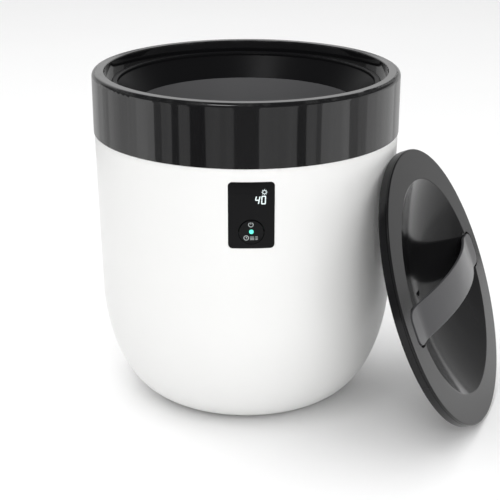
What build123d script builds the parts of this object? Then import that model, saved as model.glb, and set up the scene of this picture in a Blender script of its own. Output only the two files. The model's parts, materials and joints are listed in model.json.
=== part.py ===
from build123d import *
from math import atan, cos, degrees, radians, sin, sqrt
import os

os.makedirs("parts", exist_ok=True)

# Towel warmer: an insulated tub with a heated liner, and its lid leaning on the wall.
# Millimetres. The origin is on the floor under the tub's axis, +Z is up, the panel faces -Y.

# Tub outline
overall_height = 365.0
collar_radius = 165.0
collar_height = 64.5
collar_wall = 2.6
collar_step = 0.8
foot_height = 3.0
shell_wall = 2.6
shell_draft = 3.0
waist_height = 126.0
base_inset = 67.0
round_rise = 58.0
round_reach = 38.0
fit_gap = 0.1
part_gap = 0.3

# Rim, ledge and throat
rim_width = 13.0
recess_depth = 13.0
rim_outer_round = 5.0
rim_inner_round = 1.2
ledge_thickness = 5.0
ledge_width = 7.7
spigot_depth = 7.0
spigot_wall = 2.5
snap_height = 0.5
bead_height = 2.0
bead_width = 6.5
bead_round = 1.8
throat_drop = 26.5
throat_slope = 16.7
throat_ease = 0.4
throat_flange_width = 7.0
throat_flange_thickness = 2.6
throat_screw_count = 6

# Liner and heaters
liner_wall = 1.2
liner_floor = 46.0
liner_corner = 12.0
liner_flange_width = 12.5
seal_thickness = 0.5
liner_screw_count = 6
wall_heater_thickness = 1.5
wall_heater_low = 90.0
wall_heater_drop = 77.0
wall_heater_seam = 6.0
wall_insulation_thickness = 12.0
wall_insulation_low = 66.0
wall_insulation_drop = 17.0
base_heater_margin = 34.4
base_heater_thickness = 4.0
element_inset = 26.0
element_width = 6.0
element_height = 2.5
base_insulation_margin = 12.4
base_insulation_thickness = 9.0
control_hole_radius = 24.0
shield_thickness = 0.8
shield_rim = 8.0

# Base plate and what it carries
plate_thickness = 2.6
plate_margin = 6.0
plate_lip_width = 8.0
base_screw_inset = 4.0
base_screw_count = 6
base_boss_height = 8.0
foot_radius = 9.0
foot_inset = 14.0
foot_stem_radius = 2.8
pillar_radius = 5.0
pillar_inset = 20.0
pillar_count = 4
pillar_turn = 15.0
vent_width = 3.0
vent_length = 20.0
vent_pitch = 8.0
vent_count = 7
vent_row_offset = 52.0
board_clearance = 22.0
power_board_width = 64.0
board_thickness = 1.6
board_post_height = 6.0
board_post_radius = 3.5
board_post_inset = 6.0

# Panel
panel_width = 45.5
panel_height = 68.5
panel_corner = 4.0
panel_drop = 13.5
panel_thickness = 2.0
panel_proud = 0.25
panel_hole_round = 0.4
frame_wall = 2.4
frame_margin = 5.0
control_board_width = 46.0
control_board_trim = 2.5
control_board_depth = 17.0
control_screw_inset = 3.5
frame_post_radius = 3.0
display_width = 31.0
display_height = 20.0
display_drop = 17.0
display_margin = 2.0
rocker_radius = 12.3
rocker_rise = 17.3
rocker_gap = 0.4
rocker_proud = 0.6
rocker_cap = 2.6
rocker_pivot_depth = 4.7
rocker_neck = 4.2
rocker_inset = 0.8
rocker_skirt = 2.4
rocker_rim_width = 1.6
rocker_rim_height = 0.5
rocker_edge_round = 0.6
well_wall = 3.2
well_depth = 5.0
pin_radius = 1.2
pin_reach = 1.2
pin_gap = 0.05
post_offset = 7.5
post_radius = 1.5
switch_gap = 0.4
switch_size = 6.0
switch_body = 3.4
plunger_radius = 1.6
plunger_height = 1.0
pipe_radius = 2.2
pipe_gap = 0.4
cable_width = 12.0
cable_thickness = 1.2
cable_bend = 10.0
cable_turn_high = 84.0
cable_turn_reach = 14.0
cable_run = 11.0

# Cord entry at the back
gland_drop = 30.0
gland_seat_depth = 5.0
gland_flange_radius = 9.0
gland_flange_thickness = 2.5
gland_body_radius = 6.5
gland_bore_radius = 3.6
gland_length = 16.0
gland_boss_wall = 3.0
gland_nut_radius = 9.5
gland_nut_height = 5.0

# Lid
lid_gap = 0.7
lid_thickness = 11.0
lid_wall = 2.4
lid_groove = 0.4
lid_edge_round = 1.5
lid_skirt = 3.0
lid_border = 33.0
dish_depth = 34.0
dish_edge_round = 2.0
foam_thickness = 3.0
lid_screw_inset = 17.3
lid_screw_count = 6
lid_screw_start = 30.0
lid_boss_radius = 4.5
lid_counterbore = 2.0
lid_seal_width = 3.5
lid_seal_depth = 1.1
lid_seal_proud = 0.4
lean_azimuth = -21.6
lean_tilt = 21.3

# Lid's handle
handle_overlap = 13.5
handle_tongue = 20.0
handle_width = 37.0
handle_corner = 11.0
handle_thickness = 3.2
handle_rise = 15.5
handle_seat = 0.8
handle_bend = 45.0
handle_edge_round = 0.8
handle_turn = -2.0
pocket_gap = 2.6
pocket_floor = 2.4
handle_boss_radius = 4.0

# Screws
screw_radius = 1.5
screw_head_radius = 2.8
screw_head_height = 1.8
pilot_radius = 1.6
clear_radius = 1.8
screw_grip = 5.0

# Heights and radii that follow
shell_top = overall_height - collar_height
shell_top_radius = collar_radius - collar_step
base_radius = collar_radius - base_inset
recess_radius = collar_radius - rim_width
lid_radius = recess_radius - lid_gap
dish_radius = lid_radius - lid_border
lid_screw_circle = lid_radius - lid_screw_inset
handle_half_length = dish_radius + handle_overlap
plate_radius = base_radius - plate_margin
base_screw_radius = plate_radius - base_screw_inset
foot_circle = plate_radius - foot_inset
pillar_circle = plate_radius - pillar_inset
power_board_length = 2 * (pillar_circle - board_clearance)
ledge_height = overall_height - recess_depth
ledge_under = ledge_height - ledge_thickness
ledge_radius = recess_radius - ledge_width
bead_outer = ledge_radius - part_gap
bead_inner = bead_outer - bead_width
bead_top = ledge_height + bead_height
throat_low = bead_top - throat_drop
spigot_low = shell_top - spigot_depth
plate_top = foot_height + plate_thickness
shell_lip_top = plate_top + shell_wall
shell_lip_radius = plate_radius - plate_lip_width
throat_radius = bead_inner - throat_slope
liner_radius = throat_radius - throat_ease
liner_outer = liner_radius + liner_wall
liner_top = throat_low - seal_thickness
liner_under = liner_floor - liner_wall
wall_heater_high = liner_top - wall_heater_drop
wall_insulation_high = liner_top - wall_insulation_drop
base_heater_radius = liner_radius - base_heater_margin
element_radius = base_heater_radius - element_inset
base_insulation_radius = liner_radius - base_insulation_margin
base_heater_low = liner_under - fit_gap - base_heater_thickness
base_insulation_low = base_heater_low - fit_gap - base_insulation_thickness
shield_low = base_insulation_low - fit_gap - shield_thickness
board_low = plate_top + board_post_height
board_top = board_low + board_thickness
gland_height = waist_height - gland_drop
panel_top = shell_top - panel_drop
panel_centre = panel_top - panel_height / 2
control_board_height = panel_height - control_board_trim
rocker_height = panel_top - panel_height + rocker_rise
display_centre = panel_top - display_drop


def shell_radius(height):
    """Outer radius of the tub's straight, slightly drafted wall."""
    return shell_top_radius - shell_draft * (shell_top - height) / (shell_top - waist_height)


def wall_band(outer, inner, low, high):
    """Corners of a band inside the tub's wall, from depth outer to depth inner."""
    return [
        (shell_radius(low) - outer, low),
        (shell_radius(high) - outer, high),
        (shell_radius(high) - inner, high),
        (shell_radius(low) - inner, low),
    ]


def liner_sleeve(near, thickness, low, high):
    """Sleeve round the liner, a little way off its outside."""
    stand = (Align.CENTER, Align.CENTER, Align.MIN)
    with Locations((0, 0, low)):
        Cylinder(liner_outer + near + thickness, high - low, align=stand)
        Cylinder(liner_outer + near, high - low, align=stand, mode=Mode.SUBTRACT)


def profile(points):
    """Face of the current sketch, with its corners at points."""
    Polygon(*points, align=None)


def tub_round(inset, floor_height):
    """The tub's side from its top edge to its base, as a line and a long curve."""
    side = Line(
        (shell_top_radius - inset, shell_top), (shell_radius(waist_height) - inset, waist_height)
    )
    return Bezier(
        side @ 1,
        side @ 1 + (side % 1) * round_rise,
        (base_radius + round_reach, floor_height),
        (base_radius, floor_height),
    )


def pan_screw(length, head_radius=screw_head_radius):
    """Screw at the current locations, its head below the plane and its shank above."""
    Cylinder(head_radius, screw_head_height, align=(Align.CENTER, Align.CENTER, Align.MAX))
    Cylinder(screw_radius, length, align=(Align.CENTER, Align.CENTER, Align.MIN))


def save(part, name):
    part.label = name
    export_step(part, f"parts/{name}.step")


# Tub

# Space inside the tub's wall, short of the screw bosses and the seat of the cord's gland
with BuildPart() as shell_cavity:
    with BuildSketch(Plane.XZ):
        with BuildLine():
            inner_side = tub_round(shell_wall, shell_lip_top)
            Polyline(
                inner_side @ 1,
                (0, shell_lip_top),
                (0, shell_top),
                (shell_top_radius - shell_wall, shell_top),
            )
        make_face()
    revolve(axis=Axis.Z)
    with BuildSketch(Plane.XY.offset(shell_lip_top)):
        with PolarLocations(base_screw_radius, base_screw_count):
            Circle(screw_radius + shell_wall)
    extrude(amount=base_boss_height, mode=Mode.SUBTRACT)
    gland_seat = shell_radius(waist_height) - gland_seat_depth
    with BuildSketch(Plane.XZ.offset(gland_boss_wall - gland_seat)):
        with Locations((0, gland_height)):
            Circle(gland_flange_radius + gland_boss_wall + 2 * part_gap)
    extrude(amount=-gland_seat_depth, mode=Mode.SUBTRACT)

snap_level = spigot_low + spigot_depth / 2
snap_rise = 2.4 * snap_height

with BuildPart() as outer_shell:
    with BuildSketch(Plane.XZ):
        with BuildLine():
            outer_side = tub_round(0, foot_height)
            Polyline(
                outer_side @ 1,
                (plate_radius + part_gap, foot_height),
                (plate_radius + part_gap, plate_top),
                (shell_lip_radius, plate_top),
                (shell_lip_radius, shell_lip_top),
                (0, shell_lip_top),
                (0, shell_top),
                (shell_top_radius, shell_top),
            )
        make_face()
    revolve(axis=Axis.Z)
    add(shell_cavity.part, mode=Mode.SUBTRACT)
    # Groove for the collar's snap bead
    with BuildSketch(Plane.XZ):
        snap_wall = shell_radius(snap_level) - shell_wall
        profile(
            [
                (snap_wall - fit_gap, snap_level - snap_rise),
                (snap_wall + snap_height + fit_gap, snap_level - fit_gap),
                (snap_wall + snap_height + fit_gap, snap_level + fit_gap),
                (snap_wall - fit_gap, snap_level + snap_rise),
            ]
        )
    revolve(axis=Axis.Z, mode=Mode.SUBTRACT)
    # Panel's opening
    with BuildSketch(Plane.XZ.offset(collar_radius)):
        with Locations((0, panel_centre)):
            RectangleRounded(
                panel_width + 2 * part_gap, panel_height + 2 * part_gap, panel_corner + part_gap
            )
    extrude(amount=-collar_radius / 2, mode=Mode.SUBTRACT)
    # Flat seat and hole for the cord's gland
    with BuildSketch(Plane.XZ.offset(-gland_seat)):
        with Locations((0, gland_height)):
            Circle(gland_flange_radius + 2 * part_gap)
    extrude(amount=-2 * gland_seat_depth, mode=Mode.SUBTRACT)
    with BuildSketch(Plane.XZ.offset(-gland_seat)):
        with Locations((0, gland_height)):
            Circle(gland_body_radius + 2 * fit_gap)
    extrude(amount=2 * gland_boss_wall, mode=Mode.SUBTRACT)
    # Pilot holes of the base plate's screws
    with BuildSketch(Plane.XY.offset(plate_top)):
        with PolarLocations(base_screw_radius, base_screw_count):
            Circle(pilot_radius)
    extrude(amount=shell_wall / 2 + base_boss_height, mode=Mode.SUBTRACT)
save(outer_shell.part, "outer_shell")

spigot_radius = shell_radius(spigot_low) - shell_wall - fit_gap
throat_screw_circle = bead_outer + throat_flange_width / 2

with BuildPart() as collar:
    with BuildSketch(Plane.XZ):
        profile(
            [
                (collar_radius, shell_top),
                (collar_radius, overall_height),
                (recess_radius, overall_height),
                (recess_radius, ledge_height),
                (ledge_radius, ledge_height),
                (ledge_radius, ledge_under),
                (recess_radius + collar_wall, ledge_under),
                (recess_radius + collar_wall, overall_height - collar_wall),
                (collar_radius - collar_wall, overall_height - collar_wall),
                (collar_radius - collar_wall, shell_top + collar_wall),
                (spigot_radius - spigot_wall, shell_top + collar_wall),
                (spigot_radius - spigot_wall, spigot_low),
                (spigot_radius, spigot_low),
                (spigot_radius, snap_level - snap_rise),
                (spigot_radius + snap_height, snap_level - fit_gap),
                (spigot_radius + snap_height, snap_level + fit_gap),
                (spigot_radius, snap_level + snap_rise),
                (spigot_radius, shell_top),
            ]
        )
    revolve(axis=Axis.Z)
    rim_edges = collar.edges().filter_by(GeomType.CIRCLE).group_by(Axis.Z)[-1].sort_by(SortBy.RADIUS)
    fillet(rim_edges[0], radius=rim_inner_round)
    fillet(
        collar.edges().filter_by(GeomType.CIRCLE).group_by(Axis.Z)[-1].sort_by(SortBy.RADIUS)[-1],
        radius=rim_outer_round,
    )
    with BuildSketch(Plane.XY.offset(ledge_under)):
        with PolarLocations(throat_screw_circle, throat_screw_count):
            Circle(pilot_radius)
    extrude(amount=ledge_thickness - collar_wall / 2, mode=Mode.SUBTRACT)
save(collar.part, "collar")

shoulder_radius = liner_radius + liner_flange_width + part_gap
flange_under = ledge_under - throat_flange_thickness

with BuildPart() as throat_ring:
    with BuildSketch(Plane.XZ):
        profile(
            [
                (bead_outer, bead_top),
                (bead_inner, bead_top),
                (bead_inner, bead_top - 2 * bead_height),
                (throat_radius, throat_low),
                (shoulder_radius, throat_low),
                (shoulder_radius, throat_low + throat_flange_thickness),
                (bead_inner + throat_flange_thickness, flange_under),
                (bead_outer + throat_flange_width, flange_under),
                (bead_outer + throat_flange_width, ledge_under),
                (bead_outer, ledge_under),
            ]
        )
    revolve(axis=Axis.Z)
    fillet(
        throat_ring.edges().filter_by(GeomType.CIRCLE).group_by(Axis.Z)[-1],
        radius=bead_round,
    )
    with BuildSketch(Plane.XY.offset(flange_under)):
        with PolarLocations(throat_screw_circle, throat_screw_count):
            Circle(clear_radius)
    extrude(amount=throat_flange_thickness, mode=Mode.SUBTRACT)
    liner_screw_circle = shoulder_radius - screw_head_radius - part_gap
    with BuildSketch(Plane.XY.offset(throat_low)):
        with PolarLocations(liner_screw_circle, liner_screw_count):
            Circle(pilot_radius)
    extrude(amount=screw_grip, mode=Mode.SUBTRACT)
save(throat_ring.part, "throat_ring")

with BuildPart() as throat_screws:
    with Locations(Plane.XY.offset(flange_under)):
        with PolarLocations(throat_screw_circle, throat_screw_count):
            pan_screw(throat_flange_thickness + ledge_thickness / 2, throat_flange_width / 2)
save(throat_screws.part, "throat_screws")

# Liner and what heats and insulates it

liner_flange_radius = shoulder_radius - part_gap

with BuildPart() as liner:
    with BuildSketch(Plane.XZ):
        profile(
            [
                (liner_radius, liner_floor),
                (liner_radius, liner_top),
                (liner_flange_radius, liner_top),
                (liner_flange_radius, liner_top - liner_wall),
                (liner_outer, liner_top - liner_wall),
                (liner_outer, liner_under),
                (0, liner_under),
                (0, liner_floor),
            ]
        )
    revolve(axis=Axis.Z)
    floor_edge = liner.edges().filter_by(GeomType.CIRCLE).filter_by_position(
        Axis.Z, liner_floor, liner_floor
    )
    fillet(floor_edge, radius=liner_corner)
    under_edge = liner.edges().filter_by(GeomType.CIRCLE).group_by(Axis.Z)[0]
    fillet(under_edge, radius=liner_corner + liner_wall)
    with BuildSketch(Plane.XY.offset(liner_top)):
        with PolarLocations(liner_screw_circle, liner_screw_count):
            Circle(clear_radius)
    extrude(amount=-liner_wall, mode=Mode.SUBTRACT)
save(liner.part, "liner")

with BuildPart() as liner_seal:
    with BuildSketch(Plane.XY.offset(liner_top)):
        Circle(liner_flange_radius)
        Circle(throat_radius + part_gap, mode=Mode.SUBTRACT)
        with PolarLocations(liner_screw_circle, liner_screw_count):
            Circle(clear_radius, mode=Mode.SUBTRACT)
    extrude(amount=seal_thickness)
save(liner_seal.part, "liner_seal")

with BuildPart() as liner_screws:
    with Locations(Plane.XY.offset(liner_top - liner_wall)):
        with PolarLocations(liner_screw_circle, liner_screw_count):
            pan_screw(liner_wall + seal_thickness + screw_grip - part_gap)
save(liner_screws.part, "liner_screws")

with BuildPart() as wall_heater:
    liner_sleeve(fit_gap, wall_heater_thickness, wall_heater_low, wall_heater_high)
    # The band's ends stop short of each other at the back
    with BuildSketch(Plane.XY.offset(wall_heater_low)):
        with Locations((0, liner_outer)):
            Rectangle(wall_heater_seam, liner_outer / 2)
    extrude(amount=wall_heater_high - wall_heater_low, mode=Mode.SUBTRACT)
save(wall_heater.part, "wall_heater")

wall_insulation_near = wall_heater_thickness + 2 * fit_gap

with BuildPart() as wall_insulation:
    liner_sleeve(
        wall_insulation_near,
        wall_insulation_thickness,
        wall_insulation_low,
        wall_insulation_high,
    )
save(wall_insulation.part, "wall_insulation")

element_low = base_heater_low - element_height

with BuildPart() as base_heater:
    with BuildSketch(Plane.XY.offset(base_heater_low)):
        Circle(base_heater_radius)
    extrude(amount=base_heater_thickness)
    with BuildSketch(Plane.XY.offset(element_low)):
        Circle(element_radius + element_width / 2)
        Circle(element_radius - element_width / 2, mode=Mode.SUBTRACT)
    extrude(amount=element_height)
save(base_heater.part, "base_heater")

with BuildPart() as base_insulation:
    with BuildSketch(Plane.XY.offset(base_insulation_low)):
        Circle(base_insulation_radius)
        Circle(control_hole_radius, mode=Mode.SUBTRACT)
    extrude(amount=base_insulation_thickness)
    with BuildSketch(Plane.XY.offset(element_low - fit_gap)):
        Circle(element_radius + element_width / 2 + part_gap)
        Circle(element_radius - element_width / 2 - part_gap, mode=Mode.SUBTRACT)
    extrude(amount=element_height + fit_gap, mode=Mode.SUBTRACT)
    # Hollows for the heads of the shield's screws
    with BuildSketch(Plane.XY.offset(base_insulation_low)):
        with PolarLocations(pillar_circle, pillar_count, pillar_turn):
            Circle(screw_head_radius + part_gap)
    extrude(amount=screw_head_height + part_gap, mode=Mode.SUBTRACT)
save(base_insulation.part, "base_insulation")

shield_inner = base_insulation_radius + part_gap
shield_top = shield_low + shield_thickness

with BuildPart() as heat_shield:
    with BuildSketch(Plane.XZ):
        profile(
            [
                (control_hole_radius, shield_low),
                (shield_inner + shield_thickness, shield_low),
                (shield_inner + shield_thickness, shield_top + shield_rim),
                (shield_inner, shield_top + shield_rim),
                (shield_inner, shield_top),
                (control_hole_radius, shield_top),
            ]
        )
    revolve(axis=Axis.Z)
    with BuildSketch(Plane.XY.offset(shield_low)):
        with PolarLocations(pillar_circle, pillar_count, pillar_turn):
            Circle(clear_radius)
    extrude(amount=shield_thickness, mode=Mode.SUBTRACT)
save(heat_shield.part, "heat_shield")

with BuildPart() as shield_screws:
    with Locations(Plane(origin=(0, 0, shield_top), z_dir=(0, 0, -1))):
        with PolarLocations(pillar_circle, pillar_count, -pillar_turn):
            pan_screw(shield_thickness + screw_grip)
save(shield_screws.part, "shield_screws")

thermostat_radius = 8.0
thermostat_height = 7.0
thermostat_flange = 1.0
thermostat_offset = -11.0
tab_width = 6.3
tab_height = 6.0
tab_thickness = 0.8

with BuildPart() as thermostat:
    with BuildSketch(Plane.XY.offset(base_heater_low)):
        with Locations((thermostat_offset, 0)):
            Circle(thermostat_radius + thermostat_flange)
    extrude(amount=-thermostat_flange)
    with BuildSketch(Plane.XY.offset(base_heater_low - thermostat_flange)):
        with Locations((thermostat_offset, 0)):
            Circle(thermostat_radius)
    extrude(amount=-thermostat_height)
    with BuildSketch(Plane.XY.offset(base_heater_low - thermostat_flange - thermostat_height)):
        with Locations((thermostat_offset, 0)):
            with GridLocations(0, thermostat_radius, 1, 2):
                Rectangle(tab_width, tab_thickness)
    extrude(amount=-tab_height)
save(thermostat.part, "thermostat")

fuse_radius = 2.2
fuse_length = 14.0
fuse_offset = 9.0
fuse_lead = 0.5

with BuildPart() as thermal_fuse:
    fuse_level = base_heater_low - fuse_radius - fit_gap
    with Locations((fuse_offset, 0, fuse_level)):
        Cylinder(fuse_radius, fuse_length, rotation=(90, 0, 0))
        Cylinder(fuse_lead, fuse_length + 4 * fuse_radius, rotation=(90, 0, 0))
save(thermal_fuse.part, "thermal_fuse")

sensor_radius = 3.0
sensor_height = 7.0
sensor_offset = 17.0

with BuildPart() as temperature_sensor:
    with BuildSketch(Plane.XY.offset(base_heater_low)):
        with Locations((0, sensor_offset)):
            Circle(sensor_radius)
    extrude(amount=-sensor_height)
    fillet(temperature_sensor.edges().group_by(Axis.Z)[0], radius=sensor_radius / 2)
save(temperature_sensor.part, "temperature_sensor")

# Base

board_post_x = power_board_length / 2 - board_post_inset
board_post_y = power_board_width / 2 - board_post_inset

with BuildPart() as base_plate:
    with BuildSketch(Plane.XY.offset(foot_height)):
        Circle(plate_radius)
    extrude(amount=plate_thickness)
    with BuildSketch(Plane.XY.offset(plate_top)):
        with PolarLocations(pillar_circle, pillar_count, pillar_turn):
            Circle(pillar_radius)
    extrude(amount=shield_low - plate_top)
    with BuildSketch(Plane.XY.offset(plate_top)):
        with GridLocations(2 * board_post_x, 2 * board_post_y, 2, 2):
            Circle(board_post_radius)
    extrude(amount=board_post_height)
    with BuildSketch(Plane.XY.offset(shield_low)):
        with PolarLocations(pillar_circle, pillar_count, pillar_turn):
            Circle(pilot_radius)
    extrude(amount=-screw_grip - part_gap, mode=Mode.SUBTRACT)
    with BuildSketch(Plane.XY.offset(board_low)):
        with GridLocations(2 * board_post_x, 2 * board_post_y, 2, 2):
            Circle(pilot_radius)
    extrude(amount=-screw_grip, mode=Mode.SUBTRACT)
    with BuildSketch(Plane.XY.offset(foot_height)):
        with PolarLocations(base_screw_radius, base_screw_count):
            Circle(clear_radius)
        with PolarLocations(foot_circle, 4, start_angle=45):
            Circle(foot_stem_radius + fit_gap)
        with GridLocations(vent_pitch, 2 * vent_row_offset, vent_count, 2):
            SlotOverall(vent_length, vent_width, rotation=90)
    extrude(amount=plate_thickness, mode=Mode.SUBTRACT)
save(base_plate.part, "base_plate")

with BuildPart() as base_screws:
    with Locations(Plane.XY.offset(foot_height)):
        with PolarLocations(base_screw_radius, base_screw_count):
            pan_screw(plate_thickness + base_boss_height - part_gap)
save(base_screws.part, "base_screws")

foot_names = ["foot_rear_right", "foot_rear_left", "foot_front_left", "foot_front_right"]

for number, foot_name in enumerate(foot_names):
    angle = radians(45 + 90 * number)
    foot_centre = (foot_circle * cos(angle), foot_circle * sin(angle))
    with BuildPart() as foot:
        with BuildSketch(Plane.XY):
            with Locations(foot_centre):
                Circle(foot_radius)
        extrude(amount=foot_height)
        fillet(foot.edges().group_by(Axis.Z)[0], radius=foot_height / 4)
        with BuildSketch(Plane.XY.offset(foot_height)):
            with Locations(foot_centre):
                Circle(foot_stem_radius)
        extrude(amount=plate_thickness + fit_gap)
        with BuildSketch(Plane.XY.offset(plate_top + fit_gap)):
            with Locations(foot_centre):
                Circle(foot_stem_radius + 4 * fit_gap)
        extrude(amount=foot_height / 2, taper=20)
    save(foot.part, foot_name)

with BuildPart() as power_board:
    with BuildSketch(Plane.XY.offset(board_low)):
        Rectangle(power_board_length, power_board_width)
        with GridLocations(2 * board_post_x, 2 * board_post_y, 2, 2):
            Circle(clear_radius, mode=Mode.SUBTRACT)
    extrude(amount=board_thickness)
save(power_board.part, "power_board")

with BuildPart() as power_board_screws:
    with Locations(Plane(origin=(0, 0, board_top), z_dir=(0, 0, -1))):
        with GridLocations(2 * board_post_x, 2 * board_post_y, 2, 2):
            pan_screw(board_thickness + screw_grip - part_gap)
save(power_board_screws.part, "power_board_screws")

relay_size = (19.0, 15.0, 13.0)
relay_place = (0.28 * power_board_length, 8.0)
transformer_core = (26.0, 20.0, 11.0)
transformer_bobbin = (16.0, 26.0, 13.0)
transformer_place = (-0.28 * power_board_length, -8.0)
capacitor_radius = 5.0
capacitor_height = 13.0
capacitor_place = (4.0, -14.0)
terminal_size = (34.0, 9.0, 10.0)
terminal_place = (-4.0, 22.0)
terminal_pitch = 8.0
terminal_count = 4

with BuildPart() as relay:
    with Locations((*relay_place, board_top)):
        Box(*relay_size, align=(Align.CENTER, Align.CENTER, Align.MIN))
    fillet(relay.edges().group_by(Axis.Z)[-1], radius=1)
save(relay.part, "relay")

with BuildPart() as transformer:
    with Locations((*transformer_place, board_top)):
        Box(*transformer_bobbin, align=(Align.CENTER, Align.CENTER, Align.MIN))
        with Locations((0, 0, (transformer_bobbin[2] - transformer_core[2]) / 2)):
            Box(*transformer_core, align=(Align.CENTER, Align.CENTER, Align.MIN))
save(transformer.part, "transformer")

with BuildPart() as capacitor:
    with BuildSketch(Plane.XY.offset(board_top)):
        with Locations(capacitor_place):
            Circle(capacitor_radius)
    extrude(amount=capacitor_height)
    fillet(capacitor.edges().group_by(Axis.Z)[-1], radius=0.8)
save(capacitor.part, "capacitor")

with BuildPart() as terminal_block:
    with Locations((*terminal_place, board_top)):
        Box(*terminal_size, align=(Align.CENTER, Align.CENTER, Align.MIN))
    with BuildSketch(Plane.XY.offset(board_top + terminal_size[2])):
        with Locations(terminal_place):
            with GridLocations(terminal_pitch, 0, terminal_count, 1):
                Circle(terminal_size[1] / 4)
    extrude(amount=-terminal_size[2] / 4, mode=Mode.SUBTRACT)
save(terminal_block.part, "terminal_block")

# Cord's gland at the back, empty

gland_inner = gland_seat - gland_boss_wall

with BuildPart() as cord_gland:
    with BuildSketch(Plane.XZ.offset(-gland_seat)):
        with Locations((0, gland_height)):
            Circle(gland_flange_radius)
    extrude(amount=-gland_flange_thickness)
    fillet(cord_gland.edges().group_by(Axis.Y)[-1], radius=gland_flange_thickness / 3)
    with BuildSketch(Plane.XZ.offset(-gland_seat)):
        with Locations((0, gland_height)):
            Circle(gland_body_radius)
    extrude(amount=gland_length)
    with BuildSketch(Plane.XZ.offset(-gland_seat - gland_flange_thickness)):
        with Locations((0, gland_height)):
            Circle(gland_bore_radius)
    extrude(amount=gland_length + gland_flange_thickness, mode=Mode.SUBTRACT)
save(cord_gland.part, "cord_gland")

with BuildPart() as gland_nut:
    with BuildSketch(Plane.XZ.offset(-gland_inner)):
        with Locations((0, gland_height)):
            RegularPolygon(gland_nut_radius, 6)
            Circle(gland_body_radius + fit_gap, mode=Mode.SUBTRACT)
    extrude(amount=gland_nut_height)
save(gland_nut.part, "gland_nut")

# Panel, from the fascia inwards

fascia_back = panel_thickness - panel_proud
frame_front = shell_wall + fit_gap
frame_back = frame_front + frame_wall
frame_low = panel_centre - panel_height / 2 - frame_margin
frame_high = panel_centre + panel_height / 2 + frame_margin
board_front = shell_radius(panel_centre) - control_board_depth
rocker_hole = rocker_radius + rocker_gap
rocker_face = shell_radius(rocker_height) + panel_proud + rocker_proud
rocker_pivot = rocker_face - rocker_pivot_depth
rocker_back = rocker_face - rocker_cap - rocker_neck
well_radius = rocker_hole + well_wall
control_post_x = control_board_width / 2 - control_screw_inset
control_post_y = control_board_height / 2 - control_screw_inset
rocker_skirt_radius = rocker_radius - rocker_inset
well_back = rocker_pivot - well_depth
field_depth = fascia_back + fit_gap

with BuildPart() as panel_fascia:
    with BuildSketch(Plane.XZ):
        profile(wall_band(-panel_proud, fascia_back, frame_low, frame_high))
    revolve(axis=Axis.Z)
    with BuildSketch(Plane.XZ):
        with Locations((0, panel_centre)):
            RectangleRounded(panel_width, panel_height, panel_corner)
        with Locations((0, rocker_height)):
            Circle(rocker_hole, mode=Mode.SUBTRACT)
    extrude(amount=collar_radius, mode=Mode.INTERSECT)
    fascia_front = panel_fascia.faces().sort_by(Axis.Y)[0]
    fillet(fascia_front.inner_wires().edges(), radius=panel_hole_round)
save(panel_fascia.part, "panel_fascia")

# Field of the frame that fills the shell's opening behind the fascia
with BuildPart() as frame_field:
    with BuildSketch(Plane.XZ):
        profile(wall_band(field_depth, frame_back, frame_low, frame_high))
    revolve(axis=Axis.Z)
    with BuildSketch(Plane.XZ):
        with Locations((0, panel_centre)):
            RectangleRounded(panel_width, panel_height, panel_corner)
    extrude(amount=collar_radius, mode=Mode.INTERSECT)

# Posts for the control board and the well of the round key, up to the frame's middle
with BuildPart() as frame_posts:
    with BuildSketch(Plane.XZ.offset(board_front)):
        with Locations((0, panel_centre)):
            with GridLocations(2 * control_post_x, 2 * control_post_y, 2, 2):
                Circle(frame_post_radius)
    extrude(amount=control_board_depth)
    with BuildSketch(Plane.XZ.offset(well_back)):
        with Locations((0, rocker_height)):
            Circle(well_radius)
    extrude(amount=control_board_depth)
    with BuildSketch(Plane.XZ):
        frame_middle = frame_front + frame_wall / 2
        profile(wall_band(collar_radius / 2, frame_middle, frame_low, frame_high))
    revolve(axis=Axis.Z, mode=Mode.INTERSECT)

with BuildPart() as panel_frame:
    with BuildSketch(Plane.XZ):
        profile(wall_band(frame_front, frame_back, frame_low, frame_high))
    revolve(axis=Axis.Z)
    with BuildSketch(Plane.XZ):
        with Locations((0, panel_centre)):
            RectangleRounded(
                panel_width + 2 * frame_margin,
                panel_height + 2 * frame_margin,
                panel_corner + frame_margin,
            )
    extrude(amount=collar_radius, mode=Mode.INTERSECT)
    add(frame_field.part)
    add(frame_posts.part)
    with BuildSketch(Plane.XZ.offset(board_front)):
        with Locations((0, panel_centre)):
            with GridLocations(2 * control_post_x, 2 * control_post_y, 2, 2):
                Circle(pilot_radius)
    extrude(amount=screw_grip, mode=Mode.SUBTRACT)
    with BuildSketch(Plane.XZ.offset(board_front)):
        with Locations((0, rocker_height)):
            Circle(rocker_hole)
        with Locations((0, display_centre)):
            Rectangle(display_width + display_margin, display_height + display_margin)
    extrude(amount=collar_radius, mode=Mode.SUBTRACT)
    # Bearings of the key's pins
    with BuildSketch(Plane.YZ):
        with Locations((-rocker_pivot, rocker_height)):
            Circle(pin_radius + pin_gap)
    extrude(amount=rocker_hole + pin_reach + pin_gap, both=True, mode=Mode.SUBTRACT)
save(panel_frame.part, "panel_frame")

display_back = sqrt(
    (shell_radius(display_centre - display_height / 2) - fascia_back) ** 2
    - (display_width / 2) ** 2
)

with BuildPart() as display_module:
    with BuildSketch(Plane.XZ.offset(board_front)):
        with Locations((0, display_centre)):
            Rectangle(display_width, display_height)
    extrude(amount=display_back - fit_gap - board_front)
save(display_module.part, "display_module")

with BuildPart() as control_board:
    with BuildSketch(Plane.XZ.offset(board_front)):
        with Locations((0, panel_centre)):
            RectangleRounded(control_board_width, control_board_height, control_screw_inset / 2)
            with GridLocations(2 * control_post_x, 2 * control_post_y, 2, 2):
                Circle(clear_radius, mode=Mode.SUBTRACT)
    extrude(amount=-board_thickness)
save(control_board.part, "control_board")

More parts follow.
